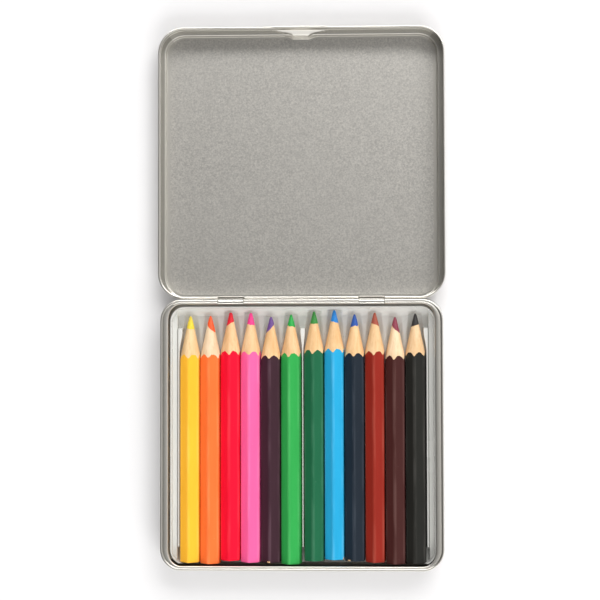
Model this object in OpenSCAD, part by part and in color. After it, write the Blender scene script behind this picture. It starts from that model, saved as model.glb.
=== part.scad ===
/* [Pencils] */
// Width of a pencil across its flats, mm
pencil_flats = 6.8; // [6:0.1:7]
// Length of a pencil, mm
pencil_length = 87.5; // [70:0.1:120]
// Gap left between neighbouring pencils, flat to flat, mm
pencil_gap = 0.4; // [0.38:0.02:1]
// Extra gap between the two middle pencils, mm
centre_gap = 1; // [0.9:0.05:4]
// Diameter of the colored core, mm
core_diameter = 2.8; // [2:0.1:3.8]
// Length of the bare sharpened cone, from the paint to the tip, mm
cone_length = 14; // [10:0.5:24]
// Diameter of the worn tip, mm
tip_diameter = 1; // [0.5:0.1:2]
// Radial gap between a core and its bore, mm
core_fit = 0.02; // [0.01:0.01:0.05]

/* [Tray] */
// Sheet thickness of the tray, mm
tray_sheet = 0.4; // [0.3:0.05:0.6]
// Gap between the tray and the base floor, mm
tray_gap = 0.1; // [0.05:0.01:0.3]
// Clearance of a pencil's corners in its groove, mm
groove_gap = 0.2; // [0.15:0.01:0.4]
// Width of the strip beside the outer pencils, mm
side_ridge_width = 0.6; // [0.4:0.1:2]
// Height of the side strips over the pencils' axes, mm
side_ridge_rise = 0.8; // [0:0.1:2]
// Width of the finger channels at the sides, mm
channel_width = 1.8; // [1:0.1:10]
// Depth of the finger channels below the tray's edge, mm
channel_depth = 2.6; // [1.5:0.1:4]
// Height of the middle rib over the pencils' axes, mm
centre_rib_rise = 0.8; // [0:0.1:2]
// How far the crests between pencils lie below the pencils' axes, mm
crest_drop = 2.1; // [1.9:0.1:2.6]
// Width of the flat edge round the tray, mm
edge_land = 0.4; // [0.4:0.1:2]
// How far the low wall behind the butts lies below the pencils' axes, mm
front_wall_drop = 1.4; // [0:0.1:3]
// Least gap between the butts and the wall behind them, mm
butt_gap = 0.15; // [0.15:0.05:2]
// Least gap between the tips and the wall in front of them, mm
tip_gap = 0.85; // [0.3:0.05:6]
// How far the tray's edge lies below the base rim, mm
tray_drop = 1.9; // [1:0.1:4]
// Gap between the tray and the rim at the sides, mm
tray_side_gap = 1.45; // [0.6:0.05:3]
// Gap between the tray and the rim at the ends, mm
tray_end_gap = 0.55; // [0.4:0.05:2]
// How far the tray lies to the right of the middle of the base, mm
tray_side_shift = 0.4; // [-0.5:0.1:0.5]
// How far the tray lies towards the butts, out of the middle of the base, mm
tray_front_shift = 0.3; // [0:0.05:0.3]

/* [Base] */
// How far the base rim stands over the pencils, mm
pencil_headroom = 0.55; // [0.3:0.05:4]
// Outside corner radius of the base, mm
base_corner = 7.6; // [6:0.1:14]
// Radius where the base wall turns into its floor, mm
base_floor_radius = 1.2; // [0.8:0.1:2]
// Sheet thickness of the base and the lid, mm
sheet = 0.25; // [0.2:0.01:0.3]
// Radius of the outer curl of the base rim, mm
rim_curl = 0.45; // [0.4:0.05:0.7]
// Radius of the second, inner curl of the base rim, mm
rim_inner_curl = 0.4; // [0.35:0.05:0.6]
// How far the inner curl lies below the outer one, mm
rim_inner_drop = 0.15; // [0:0.05:0.3]
// How much tighter the tray's corners are than the rim's opening, mm
tray_corner_ease = 0.8; // [0:0.1:2]

/* [Lid] */
// Gap between the side of the base and the lid's hem, mm
lid_side_gap = 0.5; // [0.3:0.05:0.8]
// Gap between the front of the base and the lid's hem when shut, mm
lid_front_gap = 0.3; // [0.25:0.05:0.8]
// How much wider the lid's corners are than those of the base, past its gap, mm
lid_corner_ease = 0.4; // [0:0.1:0.6]
// Radius of the lid's rolled hem, which is also the hinge pin, mm
hem_radius = 0.35; // [0.3:0.05:0.5]
// Gap between the base rim and the lid's ledge when shut, mm
seat_gap = 0.1; // [0.05:0.01:0.3]
// Height of the narrow crown of the lid, over its ledge, mm
crown_height = 3; // [2:0.1:6]
// Width of the ledge that sits on the base rim, mm
ledge_width = 1.9; // [1.2:0.1:3]
// Radius where the crown turns into the panel, mm
crown_radius = 0.9; // [0.6:0.1:1.6]

/* [Thumb lip] */
// Width of the thumb lip along the hem, mm
lip_wide = 19.3; // [10:0.1:30]
// Width of the thumb lip at the ledge, mm
lip_narrow = 5.8; // [3:0.1:9]
// How far the thumb lip stands out from the hem, mm
lip_out = 0.2; // [0.1:0.05:0.5]

/* [Hinge] */
// Distance of each hinge from the middle of the tin, mm
hinge_offset = 25; // [15:0.5:30]
// Width of each hinge tongue, mm
tongue_width = 8.8; // [5:0.1:14]
// Width of the notch in the rim at each side of a tongue, mm
tongue_notch = 0.3; // [0.15:0.05:0.8]
// Radial running clearance round the hinge pin, mm
pin_clearance = 0.05; // [0.03:0.01:0.1]
// Gap at each side of a tongue in its slot, mm
slot_side_gap = 0.35; // [0.2:0.05:0.8]
// Gap between the slot's far edge and the curled tongue, mm
slot_end_gap = 0.5; // [0.3:0.05:1]

/* [Hidden] */
$fn = 64;
// node to build, or all of them

// how far each pencil lies towards the tips from the butt margin, mm
butt_shift = [0.5, 0.1, 1.2, 0.6, 0.6, 0, 1.1, 1.6, 1.1, 0.7, 0.1, 0.4];
// how much longer than the stated length each pencil is, mm
length_shift = [-0.5, 0, 0.1, 0.5, -0.9, 0.5, 0.5, 0.4, -0.6, 0.4, -0.6, 0.3];
// how far each pencil is rolled from standing on a corner, degrees
roll = [8, 9, 7, 10, 8, 13, 8, 9, 7, 9, 8, 10];
pencil_colors = [[0.95, 0.74, 0.1], [0.9, 0.4, 0.12], [0.72, 0.1, 0.14], [0.86, 0.35, 0.5],
  [0.3, 0.12, 0.25], [0.45, 0.65, 0.25], [0.1, 0.35, 0.22], [0.2, 0.55, 0.75],
  [0.1, 0.12, 0.2], [0.5, 0.25, 0.15], [0.28, 0.1, 0.1], [0.08, 0.08, 0.08]];
half_pencils = 6;
eps = 0.05;

hex_radius = pencil_flats / sqrt(3);
groove_radius = hex_radius + groove_gap;
groove_flat = eps;
tray_bottom = sheet + tray_gap;
pencil_z = tray_bottom + tray_sheet + groove_radius - groove_flat;
pencil_pitch = pencil_flats + pencil_gap;
centre_pitch = pencil_pitch + centre_gap;
outer_pencil = centre_pitch / 2 + (half_pencils - 1) * pencil_pitch;
well_side = outer_pencil + groove_radius;
tray_half = well_side + side_ridge_width + channel_width + edge_land;
tray_width = 2 * tray_half;
butt_margin = edge_land + butt_gap;
tray_depth = butt_margin + max(butt_shift + length_shift) + pencil_length + tip_gap + edge_land;
channel_half = channel_width / 2;
channel_x = well_side + side_ridge_width + channel_half;
crest_height = pencil_z - crest_drop;
side_ridge_height = pencil_z + side_ridge_rise;
centre_rib_height = pencil_z + centre_rib_rise;
front_wall_height = pencil_z - front_wall_drop;

rim_overlap = eps;
rim_width = 2 * rim_curl + 2 * rim_inner_curl - rim_overlap;
base_width = tray_width + 2 * (tray_side_gap + rim_width);
base_depth = tray_depth + 2 * (tray_end_gap + rim_width);
base_height = pencil_z + hex_radius + pencil_headroom;
tray_height = base_height - tray_drop;
tray_corner = base_corner - rim_width - tray_corner_ease;

curl_radius = hem_radius + pin_clearance + sheet;
rear_gap = sheet + pin_clearance;
lid_height = (crown_height + base_height + seat_gap) / 2;
lid_width = base_width + 2 * (lid_side_gap + 2 * hem_radius);
lid_depth = base_depth + rear_gap + 4 * hem_radius + lid_front_gap;
lid_corner = base_corner + lid_side_gap + 2 * hem_radius + lid_corner_ease;
pin_z = lid_height;
whole_depth = base_depth + rear_gap + lid_depth + lip_out;
base_y = base_depth / 2 - whole_depth / 2;
tray_y = base_y - tray_front_shift;
base_rear = base_y + base_depth / 2;
pin_y = base_rear + rear_gap + hem_radius;
lid_y = base_rear + rear_gap + lid_depth / 2;
lid_front = lid_y + lid_depth / 2;
skirt_out = lid_corner - hem_radius + sheet / 2;
crown_out = skirt_out - ledge_width;

cone_slope = (pencil_flats / 2 - tip_diameter / 2) / (cone_length - tip_diameter / 2);
cone_big = 1.3 * hex_radius;

function pencil_x(i) = i < half_pencils
  ? -outer_pencil + i * pencil_pitch
  : centre_pitch / 2 + (i - half_pencils) * pencil_pitch;
function pencil_y(i) = tray_y - tray_depth / 2 + butt_margin + butt_shift[i];

module rounded_rect(w, d, r) {
  square([w - 2 * r, d], center = true);
  square([w, d - 2 * r], center = true);
  for (x = [-1, 1], y = [-1, 1])
    translate([x * (w / 2 - r), y * (d / 2 - r)])
      circle(r);
}

// carries a profile, drawn from the corner's centre outwards, round a rounded rectangle
module rect_sweep(w, d, r) {
  cx = w / 2 - r;
  cy = d / 2 - r;
  for (c = [[1, 1, 0], [-1, 1, 90], [-1, -1, 180], [1, -1, 270]])
    translate([c[0] * cx, c[1] * cy, 0])
      rotate([0, 0, c[2]])
        rotate_extrude(angle = 90)
          children();
  translate([cx, cy, 0])
    rotate([90, 0, 0])
      linear_extrude(2 * cy)
        children();
  translate([-cx, -cy, 0])
    rotate([90, 0, 180])
      linear_extrude(2 * cy)
        children();
  translate([-cx, cy, 0])
    rotate([90, 0, 90])
      linear_extrude(2 * cx)
        children();
  translate([cx, -cy, 0])
    rotate([90, 0, 270])
      linear_extrude(2 * cx)
        children();
}

// quarter ring that turns a wall into a floor, centred on its own bend
module bend(r, t) {
  intersection() {
    difference() {
      circle(r);
      circle(r - t);
    }
    translate([0, -r])
      square([r, r]);
  }
}

module base_profile() {
  translate([base_corner - sheet, base_floor_radius])
    square([sheet, base_height - rim_curl - base_floor_radius]);
  translate([base_corner - base_floor_radius, base_floor_radius])
    bend(base_floor_radius, sheet);
  translate([base_corner - rim_curl, base_height - rim_curl])
    circle(rim_curl);
  translate([base_corner - rim_width + rim_inner_curl, base_height - rim_inner_drop - rim_inner_curl])
    circle(rim_inner_curl);
}

// where a hinge tongue crosses the rim, the curls are pressed away
module tongue_cut() {
  depth = rim_inner_drop + 2 * max(rim_curl, rim_inner_curl) + 3 * eps;
  width = tongue_width + 2 * tongue_notch;
  translate([-width / 2, base_rear - rim_width - eps, base_height - depth])
    cube([width, rim_width + 2 * eps, depth + eps]);
}

module tongue() {
  fold = 2 * rim_curl;
  inner = rim_width - eps;
  top = base_height - eps;
  translate([-tongue_width / 2, base_rear - inner, top - sheet])
    cube([tongue_width, inner + sheet, sheet]);
  translate([-tongue_width / 2, base_rear - inner, top - fold])
    cube([tongue_width, sheet, fold]);
  translate([-tongue_width / 2, base_rear, pin_z])
    cube([tongue_width, sheet, top - pin_z]);
  translate([-tongue_width / 2, pin_y, pin_z])
    rotate([90, 0, 90])
      linear_extrude(tongue_width)
        difference() {
          circle(curl_radius);
          circle(hem_radius + pin_clearance);
          polygon([[0, 0], [curl_radius, curl_radius * tan(60)],
            [-2 * curl_radius, 2 * curl_radius], [-2 * curl_radius, 0]]);
        }
}

module base_shell() {
  color([0.75, 0.75, 0.72]) {
    difference() {
      translate([0, base_y, 0]) {
        rect_sweep(base_width, base_depth, base_corner)
          base_profile();
        linear_extrude(sheet)
          rounded_rect(base_width - 2 * base_floor_radius, base_depth - 2 * base_floor_radius,
            base_corner - base_floor_radius);
      }
      for (s = [-1, 1])
        translate([s * hinge_offset, 0, 0])
          tongue_cut();
    }
    for (s = [-1, 1])
      translate([s * hinge_offset, 0, 0])
        tongue();
  }
}

module lid_profile() {
  translate([skirt_out - sheet, crown_height - sheet])
    square([sheet, lid_height - crown_height + sheet]);
  translate([lid_corner - hem_radius, lid_height])
    circle(hem_radius);
  translate([crown_out - sheet, crown_height - sheet])
    square([ledge_width + sheet / 2, sheet]);
  translate([crown_out - sheet, crown_radius])
    square([sheet, crown_height - crown_radius - sheet / 2]);
  translate([crown_out - crown_radius, crown_radius])
    bend(crown_radius, sheet);
}

// wedge between the straight skirt and the flared lip, seen along the skirt
module lip_wedge(inset) {
  flare = hem_radius - sheet / 2 + lip_out;
  skirt_face = lid_front - hem_radius + sheet / 2;
  intersection() {
    translate([-lip_wide, skirt_face, 0])
      rotate([90, 0, 90])
        linear_extrude(2 * lip_wide)
          polygon([[-eps, crown_height], [0, crown_height], [flare, lid_height], [-eps, lid_height]]);
    translate([0, skirt_face + 2 * flare, 0])
      rotate([90, 0, 0])
        linear_extrude(4 * flare)
          polygon([[-lip_narrow / 2 + inset, crown_height - eps], [lip_narrow / 2 - inset, crown_height - eps],
            [lip_wide / 2 - inset, lid_height], [-lip_wide / 2 + inset, lid_height]]);
  }
}

module hinge_slot() {
  slot = tongue_width + 2 * slot_side_gap;
  reach = curl_radius + slot_end_gap;
  translate([-slot / 2, pin_y - hem_radius - eps, pin_z - reach])
    cube([slot, 2 * hem_radius + 2 * eps, reach + hem_radius + eps]);
}

module hinge_pin() {
  slot = tongue_width + 2 * slot_side_gap;
  translate([-slot / 2, pin_y, pin_z])
    rotate([0, 90, 0])
      cylinder(h = slot, r = hem_radius);
}

module lid_shell() {
  inner_w = lid_width - 2 * (lid_corner - crown_out + crown_radius);
  inner_d = lid_depth - 2 * (lid_corner - crown_out + crown_radius);
  color([0.78, 0.78, 0.75]) {
    difference() {
      union() {
        translate([0, lid_y, 0]) {
          rect_sweep(lid_width, lid_depth, lid_corner)
            lid_profile();
          linear_extrude(sheet)
            rounded_rect(inner_w, inner_d, crown_out - crown_radius);
        }
        lip_wedge(0);
      }
      intersection() {
        translate([0, -sheet, 0])
          lip_wedge(sheet);
        translate([-lip_wide, lid_y, 0])
          cube([2 * lip_wide, lid_depth, lid_height - hem_radius - eps]);
      }
      for (s = [-1, 1])
        translate([s * hinge_offset, 0, 0])
          hinge_slot();
    }
    for (s = [-1, 1])
      translate([s * hinge_offset, 0, 0])
        hinge_pin();
  }
}

module groove_circles(r) {
  for (i = [0:2 * half_pencils - 1])
    translate([pencil_x(i), pencil_z])
      circle(r);
}

// section through the pencil grooves, the side ridges and the finger channels
module tray_section() {
  channel_bottom = tray_height - channel_depth;
  difference() {
    translate([-tray_half + tray_sheet / 2, tray_bottom])
      square([tray_width - tray_sheet, tray_height - tray_bottom]);
    groove_circles(groove_radius);
    translate([-outer_pencil, crest_height])
      square([2 * outer_pencil, tray_height]);
    for (s = [-1, 1]) {
      translate([s * outer_pencil - well_side + outer_pencil - side_ridge_width, side_ridge_height])
        square([2 * (well_side - outer_pencil + side_ridge_width), tray_height]);
      translate([s * channel_x, channel_bottom + channel_half])
        circle(channel_half);
      translate([s * channel_x - channel_half, channel_bottom + channel_half])
        square([2 * channel_half, channel_depth]);
      translate([s * channel_x - channel_half, tray_bottom - eps])
        square([2 * channel_half, channel_bottom - tray_sheet - tray_bottom + eps]);
    }
    difference() {
      translate([-outer_pencil, tray_bottom - eps])
        square([2 * outer_pencil, crest_height - tray_sheet - tray_bottom + eps]);
      groove_circles(groove_radius + tray_sheet);
    }
  }
  translate([-tray_sheet / 2, crest_height - tray_sheet])
    square([tray_sheet, centre_rib_height - crest_height + tray_sheet]);
}

module tray() {
  run = tray_depth - 2 * edge_land;
  color([0.85, 0.85, 0.83])
    translate([tray_side_shift, tray_y, 0]) {
      intersection() {
        translate([0, run / 2, 0])
          rotate([90, 0, 0])
            linear_extrude(run)
              tray_section();
        linear_extrude(tray_height)
          rounded_rect(tray_width - tray_sheet, tray_depth - tray_sheet, tray_corner - tray_sheet / 2);
      }
      difference() {
        union() {
          rect_sweep(tray_width, tray_depth, tray_corner)
            translate([tray_corner - tray_sheet, tray_bottom])
              square([tray_sheet, tray_height - tray_bottom]);
          translate([0, 0, tray_bottom])
            linear_extrude(tray_height - tray_bottom)
              intersection() {
                rounded_rect(tray_width - tray_sheet, tray_depth - tray_sheet, tray_corner - tray_sheet / 2);
                for (s = [-1, 1])
                  translate([-well_side, s * (tray_depth / 2 - edge_land / 2) - edge_land / 2])
                    square([2 * well_side, edge_land]);
              }
        }
        translate([-well_side, -tray_depth / 2 - eps, front_wall_height])
          cube([2 * well_side, edge_land + 2 * eps, tray_height]);
      }
    }
}

// sharpened shape, with its butt at the origin and its tip along the pencil's run
module sharpened(len) {
  intersection() {
    children();
    union() {
      straight = len - (cone_big - tip_diameter / 2) / cone_slope;
      cylinder(h = straight, r = cone_big);
      translate([0, 0, straight])
        cylinder(h = len - straight, r1 = cone_big, r2 = tip_diameter / 2);
    }
  }
}

module place(i) {
  translate([tray_side_shift + pencil_x(i), pencil_y(i), pencil_z])
    rotate([-90, 0, 0])
      rotate([0, 0, 30 - roll[i]])
        children();
}

module casing(i) {
  len = pencil_length + length_shift[i];
  color(pencil_colors[i])
    place(i)
      difference() {
        sharpened(len)
          cylinder(h = len, r = hex_radius, $fn = 6);
        translate([0, 0, -eps])
          cylinder(h = len + 2 * eps, d = core_diameter + 2 * core_fit);
      }
}

module core(i) {
  len = pencil_length + length_shift[i];
  color(pencil_colors[i])
    place(i)
      sharpened(len)
        cylinder(h = len, d = core_diameter);
}

module casing_01() {
  casing(0);
}

module casing_02() {
  casing(1);
}

module casing_03() {
  casing(2);
}

module casing_04() {
  casing(3);
}

module casing_05() {
  casing(4);
}

module casing_06() {
  casing(5);
}

module casing_07() {
  casing(6);
}

module casing_08() {
  casing(7);
}

module casing_09() {
  casing(8);
}

module casing_10() {
  casing(9);
}

module casing_11() {
  casing(10);
}

module casing_12() {
  casing(11);
}

module core_01() {
  core(0);
}

module core_02() {
  core(1);
}

module core_03() {
  core(2);
}

module core_04() {
  core(3);
}

module core_05() {
  core(4);
}

module core_06() {
  core(5);
}

module core_07() {
  core(6);
}

module core_08() {
  core(7);
}

module core_09() {
  core(8);
}

module core_10() {
  core(9);
}

module core_11() {
  core(10);
}

module core_12() {
  core(11);
}

base_shell();
lid_shell();
tray();
casing_01();
casing_02();
casing_03();
casing_04();
casing_05();
casing_06();
casing_07();
casing_08();
casing_09();
casing_10();
casing_11();
casing_12();
core_01();
core_02();
core_03();
core_04();
core_05();
core_06();
core_07();
core_08();
core_09();
core_10();
core_11();
core_12();
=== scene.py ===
"""Colored pencil tin, open flat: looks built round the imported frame, in millimetres until to_metres."""
import bmesh
import bpy
import math
import numpy as np
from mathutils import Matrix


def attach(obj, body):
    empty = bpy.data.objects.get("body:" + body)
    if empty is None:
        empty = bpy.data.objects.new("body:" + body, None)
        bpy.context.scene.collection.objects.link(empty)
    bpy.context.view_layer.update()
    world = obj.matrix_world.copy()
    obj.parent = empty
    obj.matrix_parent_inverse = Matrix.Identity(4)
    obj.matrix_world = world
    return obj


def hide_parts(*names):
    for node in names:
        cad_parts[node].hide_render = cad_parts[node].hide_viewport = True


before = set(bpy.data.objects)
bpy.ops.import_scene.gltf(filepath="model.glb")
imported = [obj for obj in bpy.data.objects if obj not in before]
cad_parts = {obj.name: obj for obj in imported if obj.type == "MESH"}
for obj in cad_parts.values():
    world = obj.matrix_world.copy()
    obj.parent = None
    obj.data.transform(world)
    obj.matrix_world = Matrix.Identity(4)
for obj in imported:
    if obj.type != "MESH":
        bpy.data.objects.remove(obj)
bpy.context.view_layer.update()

# ---- sizes, as in the part's source
SHEET = 0.25
# pencils, from the left
PENCILS = 12
HALF_PENCILS = 6
FLATS = 6.8
PENCIL_LENGTH = 87.5
PENCIL_GAP = 0.4
CENTRE_GAP = 1.0
CONE_LENGTH = 14
CORE_R = 1.4
TIP_R = 0.5
BUTT_SHIFT = (0.5, 0.1, 1.2, 0.6, 0.6, 0.0, 1.1, 1.6, 1.1, 0.7, 0.1, 0.4)
LENGTH_SHIFT = (-0.5, 0.0, 0.1, 0.5, -0.9, 0.5, 0.5, 0.4, -0.6, 0.4, -0.6, 0.3)
ROLL = (8, 9, 7, 10, 8, 13, 8, 9, 7, 9, 8, 10)
HEX_R = FLATS / math.sqrt(3)
PITCH = FLATS + PENCIL_GAP
CENTRE_PITCH = PITCH + CENTRE_GAP
OUTER_PENCIL = CENTRE_PITCH / 2 + (HALF_PENCILS - 1) * PITCH
LONGEST = max(a + b for a, b in zip(BUTT_SHIFT, LENGTH_SHIFT))
# tray
TRAY_SHEET = 0.4
TRAY_GAP = 0.1
GROOVE_GAP = 0.2
GROOVE_FLAT = 0.05
SIDE_RIDGE_W = 0.6
RIDGE_RISE = 0.8
CHANNEL_W = 1.8
CHANNEL_DEPTH = 2.6
CREST_DROP = 2.1
EDGE_LAND = 0.4
BUTT_GAP = 0.15
TIP_GAP = 0.85
TRAY_DROP = 1.9
TRAY_SIDE_GAP = 1.45
TRAY_END_GAP = 0.55
TRAY_CORNER_EASE = 0.8
TRAY_SHIFT = 0.4
TRAY_FRONT_SHIFT = 0.3
GROOVE_R = HEX_R + GROOVE_GAP
TRAY_BOTTOM = SHEET + TRAY_GAP
PENCIL_Z = TRAY_BOTTOM + TRAY_SHEET + GROOVE_R - GROOVE_FLAT
WELL_SIDE = OUTER_PENCIL + GROOVE_R
TRAY_HALF = WELL_SIDE + SIDE_RIDGE_W + CHANNEL_W + EDGE_LAND
BUTT_MARGIN = EDGE_LAND + BUTT_GAP
TRAY_DEPTH = BUTT_MARGIN + LONGEST + PENCIL_LENGTH + TIP_GAP + EDGE_LAND
# base
RIM_CURL = 0.45
RIM_INNER = 0.4
RIM_DROP = 0.15
RIM_OVERLAP = 0.05
HEADROOM = 0.55
BASE_R = 7.6
FLOOR_R = 1.2
RIM_WIDTH = 2 * RIM_CURL + 2 * RIM_INNER - RIM_OVERLAP
BASE_W = 2 * TRAY_HALF + 2 * (TRAY_SIDE_GAP + RIM_WIDTH)
BASE_D = TRAY_DEPTH + 2 * (TRAY_END_GAP + RIM_WIDTH)
BASE_H = PENCIL_Z + HEX_R + HEADROOM
TRAY_H = BASE_H - TRAY_DROP
TRAY_R = BASE_R - RIM_WIDTH - TRAY_CORNER_EASE
# lid and hinge
HEM = 0.35
PIN_GAP = 0.05
LID_SIDE_GAP = 0.5
LID_FRONT_GAP = 0.3
LID_CORNER_EASE = 0.4
SEAT_GAP = 0.1
CROWN_H = 3.0
LEDGE = 1.9
CROWN_R = 0.9
HINGE_X = 25.0
TONGUE_W = 8.8
SLOT_SIDE_GAP = 0.35
SLOT_END_GAP = 0.5
LIP_OUT = 0.2
LIP_WIDE = 19.3
LIP_NARROW = 5.8
CURL_R = HEM + PIN_GAP + SHEET
REAR_GAP = SHEET + PIN_GAP
LID_H = (CROWN_H + BASE_H + SEAT_GAP) / 2
LID_W = BASE_W + 2 * (LID_SIDE_GAP + 2 * HEM)
LID_D = BASE_D + REAR_GAP + 4 * HEM + LID_FRONT_GAP
LID_R = BASE_R + LID_SIDE_GAP + 2 * HEM + LID_CORNER_EASE
SLOT_W = TONGUE_W + 2 * SLOT_SIDE_GAP
SLOT_REACH = CURL_R + SLOT_END_GAP
# places along Y, with the lid open
WHOLE_D = BASE_D + REAR_GAP + LID_D + LIP_OUT
BASE_Y = BASE_D / 2 - WHOLE_D / 2
TRAY_Y = BASE_Y - TRAY_FRONT_SHIFT
BASE_REAR = BASE_Y + BASE_D / 2
PIN_Y = BASE_REAR + REAR_GAP + HEM
LID_Y = BASE_REAR + REAR_GAP + LID_D / 2

to_metres = 0.001

HINGES = (("left", -1), ("right", 1))
# a tin piece's materials, by place in its list; the fourth is a darker tin that carries painted shade
PANEL, EDGE, SATIN, SHADED_TIN = range(4)
# a station is on a side by its normal's X, and at the front by its Y
SIDE_NORMAL = 0.6
FRONT_NORMAL = -0.7


# ---- mesh helpers
def add_mesh(name, verts, faces, materials, indices=None, sharp_deg=38.0, ridge=None):
    """A mesh object from points in millimetres, smooth but for edges sharper than sharp_deg."""
    mesh = bpy.data.meshes.new(name)
    mesh.from_pydata((np.asarray(verts, float) * to_metres).tolist(), [], faces)
    for material in materials:
        mesh.materials.append(material)
    if indices is not None:
        mesh.polygons.foreach_set("material_index", np.asarray(indices, np.int32))
    if ridge is not None:
        layer = mesh.attributes.new("ridge", "FLOAT", "POINT")
        layer.data.foreach_set("value", np.asarray(ridge, np.float32))
    mesh.polygons.foreach_set("use_smooth", np.ones(len(mesh.polygons), bool))
    mesh.validate()
    solid = bmesh.new()
    solid.from_mesh(mesh)
    bmesh.ops.recalc_face_normals(solid, faces=solid.faces)
    solid.to_mesh(mesh)
    solid.free()
    mesh.update()
    mesh.set_sharp_from_angle(angle=math.radians(sharp_deg))
    obj = bpy.data.objects.new(name, mesh)
    bpy.context.scene.collection.objects.link(obj)
    return obj


def arc(cx, cz, r, start, end, count):
    """Points on a circle from start to end degrees, both included."""
    angles = np.radians(np.linspace(start, end, count))
    return [(cx + r * math.cos(a), cz + r * math.sin(a)) for a in angles]


def even_cuts(reach, count):
    """Places from -reach to reach."""
    return np.round(np.linspace(-reach, reach, count), 4)


def stations(width, depth, radius, xs, ys, arc_steps=22):
    """Corner centres and outward normals round a rounded rectangle whose straights are cut at xs and ys."""
    cx, cy = width / 2 - radius, depth / 2 - radius
    out = []
    for k, (nx, ny) in enumerate(((1.0, 0.0), (0.0, 1.0), (-1.0, 0.0), (0.0, -1.0))):
        along, end = (ys, cy) if nx else (xs, cx)
        for t in sorted(along, reverse=nx < ny):
            if abs(t) < end - 1e-6:
                out.append(((cx * nx, t) if nx else (t, cy * ny), (nx, ny)))
        corner = (cx * (nx - ny), cy * (nx + ny))
        for a in np.radians(np.linspace(90 * k, 90 * k + 90, arc_steps)):
            out.append((corner, (math.cos(a), math.sin(a))))
    return out


def sweep(ring, radius, profile, is_panel):
    """Carries an open profile of (inset, height) round the ring; its two ends are closed by flat panels.

    is_panel tells from a face's two insets and heights whether it is PANEL; the others are EDGE.
    """
    n, m = len(ring), len(profile)
    verts = np.zeros((n, m, 3))
    for i, ((cx, cy), (nx, ny)) in enumerate(ring):
        for j, (inset, z) in enumerate(profile):
            verts[i, j] = (cx + (radius - inset) * nx, cy + (radius - inset) * ny, z)
    faces, kinds = [], []
    for i in range(n):
        k = (i + 1) % n
        for j in range(m - 1):
            faces.append((i * m + j, k * m + j, k * m + j + 1, i * m + j + 1))
            kinds.append(PANEL if is_panel(*profile[j], *profile[j + 1]) else EDGE)
    faces.append(tuple(i * m for i in reversed(range(n))))
    faces.append(tuple(i * m + m - 1 for i in range(n)))
    return verts, faces, kinds + [PANEL, PANEL]


def ring_faces(rows, n, closed=False):
    """Faces between rings of n points; closed joins the last ring to the first, else flat faces end them."""
    faces = []
    for r in range(rows if closed else rows - 1):
        s = (r + 1) % rows
        for j in range(n):
            k = (j + 1) % n
            faces.append((r * n + j, r * n + k, s * n + k, s * n + j))
    if not closed:
        faces += [tuple(range(n))[::-1], tuple((rows - 1) * n + j for j in range(n))]
    return faces


def prism(profile, x0, x1, cuts=6):
    """A closed outline in the Y-Z plane, drawn along X, with flat ends."""
    verts = [(x, y, z) for x in np.linspace(x0, x1, cuts) for y, z in profile]
    return verts, ring_faces(cuts, len(profile))


def applied(obj):
    """Bakes the modifiers of obj into its own mesh."""
    graph = bpy.context.evaluated_depsgraph_get()
    mesh = bpy.data.meshes.new_from_object(obj.evaluated_get(graph))
    obj.modifiers.clear()
    old, obj.data = obj.data, mesh
    bpy.data.meshes.remove(old)
    return obj


def bevelled(obj, width):
    """Rounds the sharp edges of obj, width in millimetres."""
    mod = obj.modifiers.new("edge", "BEVEL")
    mod.width = width * to_metres
    mod.segments = 2
    mod.limit_method = "ANGLE"
    mod.angle_limit = math.radians(50)
    return applied(obj)


def smoothstep(lo, hi, v):
    """0 below lo, 1 above hi, and a smooth rise between them."""
    t = np.clip((np.asarray(v, float) - lo) / (hi - lo), 0, 1)
    return t * t * (3 - 2 * t)


# ---- materials
class Tree:
    """Short names for building the nodes of a material or a world; shader is the node that they feed."""

    def __init__(self, owner, shader):
        owner.use_nodes = True
        self.owner = owner
        self.nodes = owner.node_tree.nodes
        self.links = owner.node_tree.links
        self.shader = self.nodes[shader]

    def add(self, kind, **values):
        node = self.nodes.new(kind)
        for key, value in values.items():
            setattr(node, key, value)
        return node

    def feed(self, node, values):
        """Gives a node's sockets, by name or number, plain values or links."""
        for key, value in values.items():
            if isinstance(value, (int, float, tuple)):
                node.inputs[key].default_value = value
            else:
                self.links.new(value, node.inputs[key])

    def set(self, **values):
        self.feed(self.shader, {key.replace("_", " "): value for key, value in values.items()})

    def noise(self, scale, detail, roughness=0.5, stretch=(1, 1, 1), distortion=0.0):
        node = self.add("ShaderNodeTexNoise")
        place = self.add("ShaderNodeTexCoord").outputs["Object"]
        mapping = self.add("ShaderNodeMapping")
        self.feed(mapping, {"Scale": stretch, "Vector": place})
        self.feed(node, {"Scale": scale, "Detail": detail, "Roughness": roughness, "Distortion": distortion,
                         "Vector": mapping.outputs["Vector"]})
        return node.outputs["Fac"]

    def remap(self, value, lo, hi, out_lo, out_hi, **values):
        node = self.add("ShaderNodeMapRange", **values)
        self.feed(node, {"From Min": lo, "From Max": hi, "To Min": out_lo, "To Max": out_hi, "Value": value})
        return node.outputs["Result"]

    def ramp(self, value, lo, hi, out_lo, out_hi):
        return self.remap(value, lo, hi, out_lo, out_hi, interpolation_type="SMOOTHSTEP")

    def math(self, operation, a, b=0.0):
        node = self.add("ShaderNodeMath", operation=operation)
        self.feed(node, {0: a, 1: b})
        return node.outputs[0]

    def mix(self, factor, a, b):
        node = self.add("ShaderNodeMix", data_type="RGBA")
        self.feed(node, {0: factor, 6: a, 7: b})
        return node.outputs[2]

    def blend(self, value, lo, hi, share, a, b):
        return self.mix(self.remap(value, lo, hi, 0.0, share), a, b)

    def bump(self, height, distance, strength, **normal):
        node = self.add("ShaderNodeBump")
        self.feed(node, {"Distance": distance * to_metres, "Strength": strength, "Height": height, **normal})
        return node.outputs["Normal"]


def material_tree(name):
    return Tree(bpy.data.materials.new(name), "Principled BSDF")


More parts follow.
